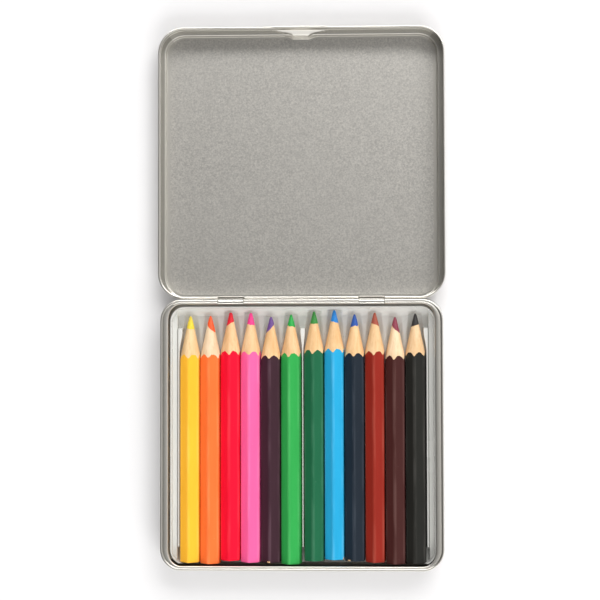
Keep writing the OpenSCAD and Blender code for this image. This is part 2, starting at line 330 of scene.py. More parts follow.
def linear(r, g, b):
    """An sRGB colour of 0 to 255 as linear RGBA."""
    def channel(v):
        v /= 255
        return v / 12.92 if v <= 0.04045 else ((v + 0.055) / 1.055) ** 2.4
    return (channel(r), channel(g), channel(b), 1.0)


def shade(colour, factor):
    """The colour made lighter or darker."""
    return tuple(min(1.0, c * factor) for c in colour[:3]) + (1.0,)


def tinplate(name, base, rough, grain):
    """Satin tin with fine speckle; grain scales the speckle's tone, roughness and relief."""
    darker, lighter, uneven = 0.22 * grain, 0.20 * grain, 0.04 * grain
    t = material_tree(name)
    speckle = t.noise(1700.0, 3.0, 0.65)
    rolled = t.noise(260.0, 4.0, 0.6, (6.0, 0.5, 1.0))
    cloud = t.noise(30.0, 3.0, 0.5)
    tone = t.blend(speckle, 0.32, 0.68, 1.0, shade(base, 1 - darker), shade(base, 1 + lighter))
    tone = t.blend(rolled, 0.35, 0.7, 0.3, tone, shade(base, 0.95))
    tone = t.blend(cloud, 0.35, 0.7, 0.25, tone, shade(base, 1.03))
    t.set(Base_Color=tone, Metallic=1.0)
    t.set(Roughness=t.remap(speckle, 0.3, 0.7, rough - uneven, rough + uneven))
    normal = t.bump(speckle, 0.010 * grain, 0.5)
    normal = t.bump(rolled, 0.006 * grain, 0.3, Normal=normal)
    t.set(Normal=normal)
    return t.owner


def formed_plastic(name, base):
    """Thin pale plastic sheet, a little cloudy and slightly translucent."""
    t = material_tree(name)
    cloud = t.noise(45.0, 3.0)
    grain = t.noise(900.0, 2.0)
    t.set(Base_Color=t.blend(cloud, 0.3, 0.7, 1.0, shade(base, 0.97), shade(base, 1.02)))
    t.set(Roughness=t.remap(cloud, 0.3, 0.7, 0.2, 0.3), IOR=1.5, Specular_IOR_Level=0.5)
    t.set(Subsurface_Weight=0.15, Subsurface_Radius=(1.0, 1.0, 1.0), Subsurface_Scale=0.0012)
    t.set(Normal=t.bump(t.math("ADD", grain, cloud), 0.02, 0.25))
    return t.owner


def lacquer(name, base, ridge_tone):
    """A pencil's paint, streaked along it and worn towards ridge_tone on the ridges."""
    t = material_tree(name)
    streak = t.noise(420.0, 4.0, 0.6, (1.0, 0.12, 1.0))
    specks = t.noise(1300.0, 2.0, 0.7)
    ridge = t.add("ShaderNodeAttribute", attribute_name="ridge").outputs["Fac"]
    worn = t.math("MULTIPLY", ridge, t.remap(streak, 0.4, 0.62, 0.15, 1.0))
    tone = t.blend(streak, 0.3, 0.7, 1.0, shade(base, 0.95), shade(base, 1.04))
    tone = t.mix(t.math("MULTIPLY", worn, 0.16), tone, ridge_tone)
    tone = t.blend(specks, 0.74, 0.80, 0.5, tone, ridge_tone)
    t.set(Base_Color=tone, IOR=1.5, Specular_IOR_Level=0.22)
    t.set(Roughness=t.remap(streak, 0.3, 0.7, 0.34, 0.48))
    t.set(Normal=t.bump(t.math("ADD", streak, t.math("MULTIPLY", specks, 0.5)), 0.03, 0.3))
    return t.owner


def bare_wood(name, base):
    """Sharpened wood with its grain along the pencil and cut marks round it."""
    t = material_tree(name)
    grain = t.noise(330.0, 5.0, 0.6, (1.0, 0.07, 1.0), 0.3)
    fibre = t.noise(1700.0, 3.0, 0.6, (1.0, 0.05, 1.0))
    cut = t.noise(700.0, 2.0, 0.5, (0.2, 3.0, 0.2))
    dark = (base[0] * 0.80, base[1] * 0.66, base[2] * 0.50, 1.0)
    tone = t.blend(grain, 0.38, 0.68, 0.75, base, dark)
    tone = t.blend(fibre, 0.5, 0.72, 0.45, tone, shade(dark, 0.92))
    t.set(Base_Color=tone, Roughness=0.66, Specular_IOR_Level=0.3)
    t.set(Normal=t.bump(t.math("ADD", fibre, t.math("MULTIPLY", cut, 0.8)), 0.05, 0.5))
    return t.owner


def wax_core(name, base):
    """The waxy coloured core, with turning marks round it."""
    t = material_tree(name)
    grit = t.noise(1500.0, 4.0, 0.6)
    rings = t.noise(600.0, 2.0, 0.5, (0.3, 2.5, 0.3))
    t.set(Base_Color=t.blend(grit, 0.35, 0.68, 1.0, shade(base, 0.88), shade(base, 1.10)))
    t.set(Roughness=t.remap(rings, 0.35, 0.65, 0.36, 0.52), IOR=1.46)
    t.set(Normal=t.bump(t.math("ADD", grit, rings), 0.05, 0.45))
    return t.owner


TIN = tinplate("tinplate_panel", linear(221, 218, 212), 0.50, 1.0)
TIN_EDGE = tinplate("tinplate_edge", linear(232, 229, 222), 0.30, 0.08)
TIN_SATIN = tinplate("tinplate_satin", linear(218, 215, 208), 0.50, 0.15)
# darker copy of the satin tin for the lid's side ledges, as painted shade
TIN_LEDGE_SHADE = tinplate("tinplate_ledge_painted_shade", linear(192, 189, 182), 0.42, 0.15)
# dark tin for the hinge pins, as painted shade for the slot round them
TIN_PIN_SHADE = tinplate("tinplate_pin_painted_shade", linear(128, 124, 118), 0.45, 0.3)
# darker tin as painted shade for the deep slot inside the base's front wall
TIN_INSIDE_SHADE = tinplate("tinplate_inside_painted_shade", linear(138, 135, 128), 0.50, 0.6)
PLASTIC = formed_plastic("tray_plastic", linear(214, 214, 210))

# ---- base
# the rim's outer and inner curl, as (inset, height) of their centres
OUTER_CURL = (RIM_CURL, BASE_H - RIM_CURL)
INNER_CURL = (RIM_WIDTH - RIM_INNER, BASE_H - RIM_DROP - RIM_INNER)
# where the swept floor ends and the flat panel takes over, and the loop before it
BASE_PANEL = BASE_R - 0.3
FLOOR_LOOP = 4.5
WALL_LOOPS = (3.5, 6.0)
FLOOR_TOP = 5
# along the sides the rim is this wide, by a flatter inner curl, which lies over CURL_FROM
SIDE_RIM = 2.9
CURL_FROM = 7.5
# a tongue's notch: its gap at each side, the next cut past it, and how the rim is pressed down in it
NOTCH = 0.12
NOTCH_CUT = 0.12
PRESS_FROM = 7.9
PRESS_KEEP = 0.15


def meet(c1, r1, c2, r2):
    """The upper and lower points where two circles cross."""
    d = math.dist(c1, c2)
    a = (r1 * r1 - r2 * r2 + d * d) / (2 * d)
    h = math.sqrt(max(r1 * r1 - a * a, 0))
    ux, uz = (c2[0] - c1[0]) / d, (c2[1] - c1[1]) / d
    px, pz = c1[0] + a * ux, c1[1] + a * uz
    return (px - h * uz, pz + h * ux), (px + h * uz, pz - h * ux)


def angle_of(centre, point):
    """Direction from centre to point, in degrees."""
    return math.degrees(math.atan2(point[1] - centre[1], point[0] - centre[0]))


def base_profile():
    """The base's section as (inset, height): floor, wall, the rim curled twice, and back down inside."""
    top, low = meet(OUTER_CURL, RIM_CURL, INNER_CURL, RIM_INNER)
    out = [(BASE_PANEL, 0.0), (FLOOR_LOOP, 0.0)]
    out += arc(FLOOR_R, FLOOR_R, FLOOR_R, 270, 180, 9)
    out += [(0.0, z) for z in WALL_LOOPS]
    out += arc(*OUTER_CURL, RIM_CURL, 180, angle_of(OUTER_CURL, top), 13)
    out += arc(*INNER_CURL, RIM_INNER, angle_of(INNER_CURL, top), angle_of(INNER_CURL, low), 22)[1:]
    wall_in = -math.degrees(math.acos((SHEET - RIM_CURL) / RIM_CURL))
    out += arc(*OUTER_CURL, RIM_CURL, angle_of(OUTER_CURL, low), wall_in, 6)[1:]
    out += [(SHEET, z) for z in WALL_LOOPS[::-1]]
    out += arc(FLOOR_R, FLOOR_R, FLOOR_R - SHEET, 180, 270, 9)
    out += [(FLOOR_LOOP, SHEET), (BASE_PANEL, SHEET)]
    return out


def hinge_cuts():
    """Where the ring is cut along X, so that the notches get steep sides."""
    edge = TONGUE_W / 2 + NOTCH
    offsets = (-edge - NOTCH_CUT, -edge, 0, edge, edge + NOTCH_CUT)
    return [s * HINGE_X + offset for s in (-1, 1) for offset in offsets]


def build_base():
    """The pressed base with its curled rim."""
    xs = set(even_cuts(40, 33)) | set(np.round(hinge_cuts(), 4))
    ring = stations(BASE_W, BASE_D, BASE_R, xs, even_cuts(38, 31))
    profile = base_profile()
    verts, faces, kinds = sweep(ring, BASE_R, profile,
                                lambda a, za, b, zb: min(a, b) > FLOOR_R and max(za, zb) < FLOOR_TOP)
    insets, heights = np.array(profile).T
    curl = (heights > CURL_FROM) & (insets > 2 * RIM_CURL)
    inside_from = profile.index((SHEET, WALL_LOOPS[-1]))
    steps = len(profile) - 1
    for i, ((cx, cy), (nx, ny)) in enumerate(ring):
        widen = (insets - 2 * RIM_CURL) * (SIDE_RIM - RIM_WIDTH) / (RIM_WIDTH - 2 * RIM_CURL) * nx * nx
        verts[i, curl, 0] -= (widen * nx)[curl]
        verts[i, curl, 1] -= (widen * ny)[curl]
        if ny == 1.0 and abs(abs(cx) - HINGE_X) < TONGUE_W / 2 + NOTCH + 0.01:
            high = verts[i, :, 2] > PRESS_FROM
            verts[i, high, 2] = PRESS_FROM + (verts[i, high, 2] - PRESS_FROM) * PRESS_KEEP
        for j in range(steps):
            if curl[j] and curl[j + 1] and abs(nx) > SIDE_NORMAL and heights[j] > INNER_CURL[1]:
                kinds[i * steps + j] = SATIN
            # inside the front, the wall and the floor strip along it take the darker tin as painted shade
            # for the slot behind the butts
            elif j >= inside_from and ny < FRONT_NORMAL:
                kinds[i * steps + j] = SHADED_TIN
    verts[..., 1] += BASE_Y
    base = add_mesh("base_tin", verts.reshape(-1, 3), faces, [TIN, TIN_EDGE, TIN_SATIN, TIN_INSIDE_SHADE], kinds)
    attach(base, "base")
    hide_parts("base_shell")


build_base()

# ---- hinge tongues
# how far the tongue ends short of the rim's inner edge, and its underside lies below the rim's top
TONGUE_SHORT = 0.01
TONGUE_DEEP = 1.1
# its top: the drop where it starts, its fall to the pin, its waves and the rounding of its ends
TOP_DROP = 0.12
TOP_FALL = 0.28
TOP_WAVE = 0.06
TOP_ROUND = 0.25
# where its two sides turn down behind the rim, below the rim's top, and where they meet the curl
HEEL_DROP = 1.3
HEEL_IN = 0.1
NECK_RISE = 0.4
# the curl runs from the base's side under the pin and up its far side
CURL_FROM_DEG, CURL_TO_DEG = 180, 420


def tongue_top(y):
    """Height of the tongue over the rim and down to the pin, with y outwards from the base's rear."""
    share = (y + RIM_WIDTH - TONGUE_SHORT) / (RIM_WIDTH - TONGUE_SHORT + SHEET)
    round_end = TOP_ROUND * (math.sqrt(max(0, 1 - (2 * share - 1) ** 8)) - 1)
    return BASE_H - TOP_DROP - TOP_FALL * share + TOP_WAVE * math.cos(4 * math.pi * share) + round_end


def tongue_profile():
    """The tongue's closed outline as (y, z): over the rim, down to the pin and round it."""
    inner, low = RIM_WIDTH - TONGUE_SHORT, BASE_H - TONGUE_DEEP
    heel, neck = BASE_H - HEEL_DROP, LID_H + NECK_RISE
    pin = REAR_GAP + HEM
    along = -inner + (inner + SHEET) * (1 - np.cos(np.linspace(0, math.pi, 31))) / 2
    out = [(-inner, low)]
    out += [(y, tongue_top(y)) for y in along]
    out += [(SHEET, heel), (SHEET, neck)]
    out += arc(pin, LID_H, HEM + PIN_GAP, CURL_FROM_DEG, CURL_TO_DEG, 22)
    out += arc(pin, LID_H, CURL_R, CURL_TO_DEG, CURL_FROM_DEG, 24)
    out += [(0.0, neck), (0.0, heel), (-HEEL_IN, low), (SHEET - inner, low)]
    return [(y + BASE_REAR, z) for y, z in out]


for side, sign in HINGES:
    x = sign * HINGE_X
    verts, faces = prism(tongue_profile(), x - TONGUE_W / 2, x + TONGUE_W / 2)
    tongue = bevelled(add_mesh(f"hinge_tongue_{side}", verts, faces, [TIN_EDGE]), 0.06)
    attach(tongue, "base")

# ---- lid
# insets of the two faces of the skirt and of the crown
SKIRT_OUT = HEM - SHEET / 2
SKIRT_IN = SKIRT_OUT + SHEET
CROWN_OUT = SKIRT_OUT + LEDGE
CROWN_IN = CROWN_OUT + SHEET
BEND_C = CROWN_OUT + CROWN_R
# the panel's dome, where it ends, and where the flat panel takes over
PANEL_RISE = 0.1
PANEL_END = 7.6
PANEL_LOOPS = (3.05, 3.7, 4.5, 5.4, 6.4, PANEL_END)
LID_PANEL = LID_R - 0.3
UNDER_LOOP = 5.5
# further loops: insets on the ledge, heights over it on the skirt, heights on the crown's two faces
LEDGE_LOOPS = (0.9, 1.2, 1.5, 1.8)
SKIRT_LOOPS = (0.6, 1.8)
CROWN_LOOPS_OUT = (1.4, 2.0)
CROWN_LOOPS_IN = (2.2, 1.6, 1.0)
# radii inside the section: skirt to ledge outside, the small fillets inside, ledge to crown
HEEL_R = 0.22
FILLET_R = 0.12
EDGE_R = 0.15
BEND_R = 0.42
# the hem is this many times as wide, inwards, as its circle
HEM_WIDE = 1.16
# along the hinge the crown comes out by this, from this inset on
REAR_NARROW = 1.55
REAR_FROM = 0.55
# the slot cutter's reach round the hem's axis, and how far a pin runs into the hem
CUT_REACH = 0.5
PIN_INTO = 0.05
# thumb lip: depth of the ledge's dent at the crown, run of its foot into the panel, reach along X
LIP_DROP = 1.14
LIP_RUN = 1.1
LIP_ZONE = 12
# the lip's width is LIP_WIDE at this inset and LIP_NARROW at the crown
LIP_FROM = 0.7
# softness of the dent's and the bulge's edges, and where the crown's lean dies out along X
DENT_EDGE = 0.35
BULGE_EDGE = 1.5
LEAN_OUT = (2.2, 6.0)
LIP_FOOT = CROWN_H - LIP_DROP


def lid_profile():
    """The lid's section as (inset, height), panel down: over the crown, ledge and hem, and back inside."""
    under = CROWN_H - SHEET
    hem_low = math.degrees(math.acos((SKIRT_OUT - HEM) / HEM))
    out = [(LID_PANEL, 0.0), (UNDER_LOOP, 0.0)]
    out += arc(BEND_C, CROWN_R, CROWN_R, 270, 180, 9)
    out += [(CROWN_OUT, z) for z in (*CROWN_LOOPS_OUT, under - EDGE_R)]
    out += arc(CROWN_OUT - EDGE_R, under - EDGE_R, EDGE_R, 0, 90, 4)[1:]
    out += [(inset, under) for inset in LEDGE_LOOPS[2::-2]]
    out += arc(SKIRT_OUT + HEEL_R, under + HEEL_R, HEEL_R, 270, 180, 6)
    out += [(SKIRT_OUT, CROWN_H + z) for z in SKIRT_LOOPS]
    out += [(HEM_WIDE * u, v) for u, v in arc(HEM, LID_H, HEM, -hem_low, hem_low - 540, 26)]
    out += [(SKIRT_IN, CROWN_H + z) for z in SKIRT_LOOPS[::-1]]
    out += arc(SKIRT_IN + FILLET_R, CROWN_H + FILLET_R, FILLET_R, 180, 270, 4)
    out += [(inset, CROWN_H) for inset in LEDGE_LOOPS]
    out += arc(CROWN_IN - BEND_R, CROWN_H - BEND_R, BEND_R, 90, 0, 8)
    out += [(CROWN_IN, z) for z in CROWN_LOOPS_IN]
    out += arc(CROWN_IN + FILLET_R, SHEET + PANEL_RISE + FILLET_R, FILLET_R, 180, 264, 6)
    for inset in PANEL_LOOPS:
        out.append((inset, SHEET + PANEL_RISE * (1 - (inset - CROWN_IN) / (LID_PANEL - CROWN_IN)) ** 2))
    out.append((LID_PANEL, SHEET))
    return out


def press_lip(points, cx, insets, heights):
    """The thumb lip at one station of the front: the hem bulges, and the ledge slopes down to the panel.

    The small margins only pick loops of the section, and each falls between two of them.
    """
    foot = SHEET + PANEL_RISE
    narrowed = np.clip((insets - LIP_FROM) / (CROWN_IN - LIP_FROM), 0, 1)
    half = LIP_WIDE / 2 + (LIP_NARROW - LIP_WIDE) / 2 * narrowed
    in_dent = smoothstep(-DENT_EDGE, DENT_EDGE, half - abs(cx))
    in_hem = smoothstep(-BULGE_EDGE, BULGE_EDGE, LIP_WIDE / 2 - abs(cx))
    points[:, 1] += LIP_OUT * in_hem * smoothstep(CROWN_H, LID_H, heights)
    # down: all of the fall on the ledge, and a share of it on the crown's wall
    fall = LIP_DROP * np.clip((insets - SKIRT_IN) / (CROWN_IN - SKIRT_IN), 0, 1) * in_dent
    up_wall = np.clip((heights - foot) / (CROWN_H - foot), 0, 1)
    on_wall = (insets > CROWN_OUT - 0.3) & (heights < CROWN_H - SHEET - 0.1)
    below_skirt = heights < CROWN_H + 0.3
    points[:, 2] -= np.where(below_skirt, fall * np.where(on_wall, up_wall, 1), 0)
    # inwards: the crown's wall leans, and the panel beside it gives way
    run = LIP_RUN * (1 - smoothstep(*LEAN_OUT, abs(cx)))
    on_crown = run * (1 - up_wall)
    on_panel = run * np.clip((PANEL_END - insets) / (PANEL_END - CROWN_IN - FILLET_R), 0, 1)
    outer_face = heights < 0.1
    outer_bend = (heights < CROWN_R + 0.01) & (heights > 0.1) & (insets < CROWN_IN - 0.02)
    shift = np.where(outer_face, np.where(insets > 5.0, 0, run), on_panel)
    shift = np.where(insets > CROWN_IN + 0.11, shift, on_crown)
    shift = np.where(outer_bend, on_crown, shift)
    points[:, 1] -= np.where((insets > CROWN_OUT - 0.3) & (heights < CROWN_H + 0.01), shift, 0)


def narrow_rear(points, nx, ny, insets, heights):
    """The crown moved out towards the skirt at one station of the hinge side."""
    near = np.clip((insets - REAR_FROM) / (CROWN_OUT - 0.1 - REAR_FROM), 0, 1)
    far = np.clip((PANEL_END - insets) / (PANEL_END - CROWN_IN - 0.2), 0, 1)
    shift = np.where(heights < CROWN_H + 0.01, REAR_NARROW * ny * ny * near * far, 0)
    points[:, 0] += shift * nx
    points[:, 1] += shift * ny


def lid_kind(cx, nx, ny, a, b, low, high, inner):
    """The material of a face from inset a to b and height low to high, or None where sweep's own one stays.

    inner holds on the second half of the profile, which is the lid's inner face.
    """
    on_ledge = low > CROWN_H - 0.01 and high < CROWN_H + 0.01 and a > SKIRT_IN + 0.05
    taper = (LIP_WIDE - LIP_NARROW) / 2 * (a - LIP_FROM) / (CROWN_IN - LIP_FROM)
    in_lip = ny == 1.0 and abs(cx) < LIP_WIDE / 2 - taper
    on_foot = a > CROWN_IN - 0.01 and b < CROWN_IN + 0.14 and high < LIP_FOOT + 0.2
    on_side = abs(nx) > SIDE_NORMAL and low > 0.3 and high < CROWN_H + 0.01 and a > CROWN_OUT - 0.4 and inner
    # the side ledges take the darker tin as painted shade; the other ledges take the satin tin
    if on_ledge and not in_lip:
        return SHADED_TIN if abs(nx) > SIDE_NORMAL else SATIN
    if on_side or (on_foot and ny == 1.0 and abs(cx) < 6):
        return SATIN
    return None


def cut_slots(lid):
    """Two slots in the rear skirt, where the tongues come through."""
    for sign in (-1, 1):
        x, half = sign * HINGE_X, SLOT_W / 2
        front, back = PIN_Y - CUT_REACH, PIN_Y + CUT_REACH
        low, high = LID_H - SLOT_REACH, LID_H + CUT_REACH
        box = [(front, low), (back, low), (back, high), (front, high)]
        verts, faces = prism(box, x - half, x + half, 2)
        cutter = add_mesh("cutter", verts, faces, [TIN])
        mod = lid.modifiers.new("slot", "BOOLEAN")
        mod.operation = "DIFFERENCE"
        mod.solver = "EXACT"
        mod.object = cutter
        applied(lid)
        bpy.data.objects.remove(cutter)
    lid.data.set_sharp_from_angle(angle=math.radians(38))


def build_lid():
    """The pressed lid with its crown, ledge, rolled hem and thumb lip."""
    profile = lid_profile()
    slot_xs = np.round([s * HINGE_X + k * SLOT_W / 2 for s in (-1, 1) for k in (-1, 1)], 4)
    xs = set(even_cuts(40, 33)) | set(even_cuts(LIP_ZONE, 61)) | set(slot_xs)
    ring = stations(LID_W, LID_D, LID_R, xs, even_cuts(40, 33), 26)
    verts, faces, kinds = sweep(ring, LID_R, profile, lambda a, za, b, zb: min(a, b) > CROWN_IN + FILLET_R)
    insets, heights = np.array(profile).T
    steps = len(profile) - 1
    for i, ((cx, cy), (nx, ny)) in enumerate(ring):
        if ny == 1.0 and abs(cx) <= LIP_ZONE:
            press_lip(verts[i], cx, insets, heights)
        if ny < 0:
            narrow_rear(verts[i], nx, ny, insets, heights)
        for j in range(steps):
            a, b = sorted(insets[j:j + 2])
            low, high = sorted(heights[j:j + 2])
            kind = lid_kind(cx, nx, ny, a, b, low, high, j > len(profile) / 2)
            if kind is not None:
                kinds[i * steps + j] = kind
    verts[..., 1] += LID_Y
    lid = add_mesh("lid_tin", verts.reshape(-1, 3), faces, [TIN, TIN_EDGE, TIN_SATIN, TIN_LEDGE_SHADE], kinds)
    cut_slots(lid)
    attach(lid, "lid")
    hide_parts("lid_shell")


build_lid()

# the hem runs on across the slots as the hinge pins, in a dark tin that is painted shade for the slot round
# them
for side, sign in HINGES:
    x, half = sign * HINGE_X, SLOT_W / 2 + PIN_INTO
    circle = [(PIN_Y + u, LID_H + v) for u, v in arc(0, 0, HEM, 0, 360, 29)[:-1]]
    verts, faces = prism(circle, x - half, x + half)
    pin = add_mesh(f"hinge_pin_{side}", verts, faces, [TIN_PIN_SHADE])
    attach(pin, "lid")

# ---- pencils
CONE_SLOPE = (FLATS / 2 - TIP_R) / (CONE_LENGTH - TIP_R)
CORE_FIT = 0.02
RIDGE_R = 0.85
# where a flat is cut, as shares of its width; the first and last cuts are partly worn
FLAT_CUTS = (0.04, 0.14, 0.26, 0.38, 0.5, 0.62, 0.74, 0.86, 0.96)
# depth of the paint's scallops, against those of a plain cut
SCALLOP = 0.72
# a casing's materials, by place in its list; the third, on the butt's face, is end grain darkened past real
# end grain as painted shade for the slot behind the butts
PAINT, WOOD, END_GRAIN_AND_SHADE = range(3)
# how far the butt stands out behind the CAD's one
BUTT_OUT = 0.3
# loops of the rounded butt: depth under the hexagon, distance from the butt, share of the ridges' wear
BUTT_LOOPS = ((0.22, 0.0, 0.0), (0.05, 0.06, 1.0), (0.0, 0.22, 0.9),
              (0.0, 0.5, 1.0), (0.0, 1.0, 1.0), (0.0, 2.2, 1.0))
# loops as shares of the painted sides, up to PAINT_STOP from the paint's edge, and of the wood's cone;
# the bore's first loop lies BORE_STEP behind the cone's last one
SIDE_LOOPS = (0.2, 0.4, 0.6, 0.8, 0.95)
CONE_LOOPS = (0.06, 0.3, 0.55, 0.8, 1.0)
PAINT_STOP = 0.6
BORE_STEP = 0.02


# where pencil i lies along X, and its butt and tip along Y
def pencil_x(i):
    if i < HALF_PENCILS:
        return TRAY_SHIFT - OUTER_PENCIL + i * PITCH
    return TRAY_SHIFT + CENTRE_PITCH / 2 + (i - HALF_PENCILS) * PITCH


def butt_y(i):
    return TRAY_Y - TRAY_DEPTH / 2 + BUTT_MARGIN + BUTT_SHIFT[i]


def tip_y(i):
    return butt_y(i) + PENCIL_LENGTH + LENGTH_SHIFT[i]


def cone_r(t):
    """Radius of the sharpened cone at t from its tip."""
    return TIP_R + CONE_SLOPE * t


def cone_t(r):
    """Distance from the tip where the sharpened cone has radius r."""
    return (r - TIP_R) / CONE_SLOPE


def hexagon():
    """Polar points of a hexagon with worn ridges, and how far each lies on a ridge (1) or a flat (0)."""
    apothem = FLATS / 2 - RIDGE_R
    corner = apothem / math.cos(math.radians(30))

    def on_ridge(k, degrees):
        mid = math.radians(60 * k)
        a = mid + math.radians(degrees)
        return corner * math.cos(mid) + RIDGE_R * math.cos(a), corner * math.sin(mid) + RIDGE_R * math.sin(a)

    points, ridge = [], []
    for k in range(6):
        for degrees in np.linspace(-30, 30, 6):
            points.append(on_ridge(k, degrees))
            ridge.append(1.0)
        (x0, y0), (x1, y1) = points[-1], on_ridge(k + 1, -30)
        for f in FLAT_CUTS:
            points.append((x0 + (x1 - x0) * f, y0 + (y1 - y0) * f))
            ridge.append(0.6 if f in (FLAT_CUTS[0], FLAT_CUTS[-1]) else 0.0)
    angles = np.array([math.atan2(y, x) for x, y in points])
    radii = np.array([math.hypot(x, y) for x, y in points])
    return angles, radii, np.array(ridge)


HEX_ANGLES, HEX_RADII, HEX_RIDGE = hexagon()

# name, lacquer, lacquer on worn ridges, core, wood, core's lean (mm) and its direction (degrees, 90 up)
LOOKS = (
    ("yellow", (254, 184, 47), (250, 225, 140), (238, 210, 60), (238, 205, 158), 0.10, 60),
    ("orange", (247, 113, 51), (255, 180, 130), (252, 92, 42), (243, 220, 190), 0.34, 20),
    ("red", (240, 3, 46), (250, 110, 110), (222, 28, 48), (238, 196, 150), 0.20, 200),
    ("pink", (243, 96, 156), (255, 175, 205), (242, 62, 140), (238, 200, 155), 0.05, 0),
    ("plum", (58, 33, 43), (150, 115, 130), (105, 72, 140), (238, 200, 152), 0.34, 180),
    ("green", (46, 160, 74), (140, 205, 150), (40, 165, 72), (238, 200, 155), 0.05, 0),
    ("dark_green", (27, 97, 64), (120, 165, 140), (58, 138, 62), (236, 198, 150), 0.05, 90),
    ("light_blue", (34, 160, 208), (150, 215, 240), (38, 130, 208), (238, 200, 152), 0.08, 0),
    ("navy", (29, 38, 48), (110, 118, 130), (40, 85, 168), (236, 198, 150), 0.08, 180),
    ("rust", (142, 36, 24), (205, 130, 110), (165, 80, 62), (238, 204, 160), 0.12, 0),
    ("maroon", (67, 32, 30), (150, 118, 112), (140, 60, 78), (243, 216, 180), 0.30, 10),
    ("black", (34, 34, 31), (115, 112, 108), (50, 48, 48), (238, 206, 165), 0.10, 180),
)
# a core's loops: shares of its cone's length, then (share of its point's radius, distance from the tip)
CORE_LOOPS = (0.75, 0.5, 0.3, 0.16)
POINT_LOOPS = ((0.94, 0.16), (0.72, 0.05), (0.32, 0.0))
# radius of each worn point
POINTS = (0.34, 0.28, 0.5, 0.46, 0.34, 0.36, 0.34, 0.4, 0.32, 0.36, 0.34, 0.34)
# pale chips at the butt: pencil, from and to degrees round its top, and whether it is a long one
CHIPS = ((4, 92, 110, False), (7, 18, 40, True), (8, 118, 134, False))


def turned(i):
    """Directions of the hexagon's points in pencil i, which is rolled."""
    return HEX_ANGLES + math.radians(30 + ROLL[i])


def level(value):
    """The same value at each of the hexagon's points."""
    return np.full(len(HEX_ANGLES), value)


def surface(t):
    """The sharpened pencil's radii at t from its tip."""
    return np.minimum(HEX_RADII, cone_r(t))


def wobble(rng, directions, scale, waves):
    """An uneven wave round a pencil, drawn from rng."""
    out = np.zeros(len(directions))
    for k in waves:
        height, phase = rng.normal(0, 1), rng.uniform(0, 2 * math.pi)
        out += height * np.cos(k * directions + phase) / math.sqrt(len(waves))
    return out * scale


def tube(i, rings):
    """Points of pencil i, ring by ring, from pairs of radii and distances from its tip."""
    across, up = np.cos(turned(i)), np.sin(turned(i))
    return np.array([np.stack([pencil_x(i) + radius * across, tip_y(i) - t, PENCIL_Z + radius * up], axis=1)
                     for radius, t in rings])


def build_casing(i, length, core_edge, paint_t):
    """Pencil i's casing: butt face, lacquered sides, wood cone, then back down the bore."""
    name, paint, worn, _, wood, _, _ = LOOKS[i]
    tag = f"{i + 1:02d}"
    n = len(HEX_ANGLES)
    bore = core_edge + CORE_FIT
    bore_t = cone_t(bore)
    # each ring: radii, distances from the tip, share of the ridges' wear, material of the faces after it
    rings = [(bore, level(length), 0.0, END_GRAIN_AND_SHADE)]
    rings += [(HEX_RADII - under, level(length - back), wear, PAINT) for under, back, wear in BUTT_LOOPS]
    back = BUTT_LOOPS[-1][1]
    for f in SIDE_LOOPS:
        rings.append((HEX_RADII, (length - back) + (paint_t + PAINT_STOP - length + back) * f, 1.0, PAINT))
    rings.append((surface(paint_t), paint_t, 0.5, WOOD))
    for f in CONE_LOOPS:
        t = paint_t + (bore_t - paint_t) * f
        rings.append((surface(t), t, 0.0, WOOD))
    for f in (0.0, 0.5):
        rings.append((bore, bore_t + BORE_STEP + (length - bore_t - BORE_STEP) * f, 0.0, WOOD))
    verts = tube(i, [ring[:2] for ring in rings]).reshape(-1, 3)
    ridge = np.concatenate([HEX_RIDGE * wear for _, _, wear, _ in rings])
    kinds = np.repeat([kind for _, _, _, kind in rings], n).reshape(-1, n)
    degrees = np.degrees(turned(i)) % 360
    for chipped, low, high, is_long in CHIPS:
        if chipped == i:
            inside = (degrees > low) & (degrees < high)
            kinds[1:4, inside] = WOOD
            if is_long:
                kinds[4, inside & (np.arange(n) % 2 == 1)] = WOOD
    materials = [
        lacquer(f"lacquer_{name}", linear(*paint), linear(*worn)),
        bare_wood(f"wood_{tag}", linear(*wood)),
        # end grain, much darker than real end grain: partly painted shade for the slot behind the butts
        bare_wood(f"end_grain_and_shade_{tag}", shade(linear(*wood), 0.42)),
    ]
    faces = ring_faces(len(rings), n, closed=True)
    casing = add_mesh(f"pencil_{tag}_{name}", verts, faces, materials, kinds.reshape(-1), 34, ridge)
    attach(casing, f"pencil_{tag}")
    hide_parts(f"casing_{tag}")


def build_core(i, length, core_edge, rng):
    """Pencil i's core: butt end, hidden shaft, then the coloured cone and its worn point."""
    name, _, _, lead, _, _, _ = LOOKS[i]
    tag = f"{i + 1:02d}"
    point = POINTS[i]
    directions = turned(i)
    lead_t = cone_t(core_edge)
    slant = rng.uniform(-0.12, 0.12)
    rings = [(core_edge * 0.5, level(length - 0.10)), (core_edge - 0.08, level(length - 0.08)),
             (core_edge, level(length - 0.14)), (core_edge, lead_t + 8.0), (core_edge, lead_t)]
    for f in CORE_LOOPS:
        t = lead_t * f
        blunt = (TIP_R - point) * (1 - f) ** 1.5
        rings.append((cone_r(t) - blunt + wobble(rng, directions, 0.012, (2, 3, 5)), t))
    for r, t in POINT_LOOPS:
        rings.append((level(r * point), t + slant * r * point * np.cos(directions) + 0.06))
    faces = ring_faces(len(rings), len(HEX_ANGLES))
    material = wax_core(f"core_{name}", linear(*lead))
    core = add_mesh(f"lead_{tag}_{name}", tube(i, rings).reshape(-1, 3), faces, [material], None, 50)
    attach(core, f"pencil_{tag}")
    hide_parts(f"core_{tag}")


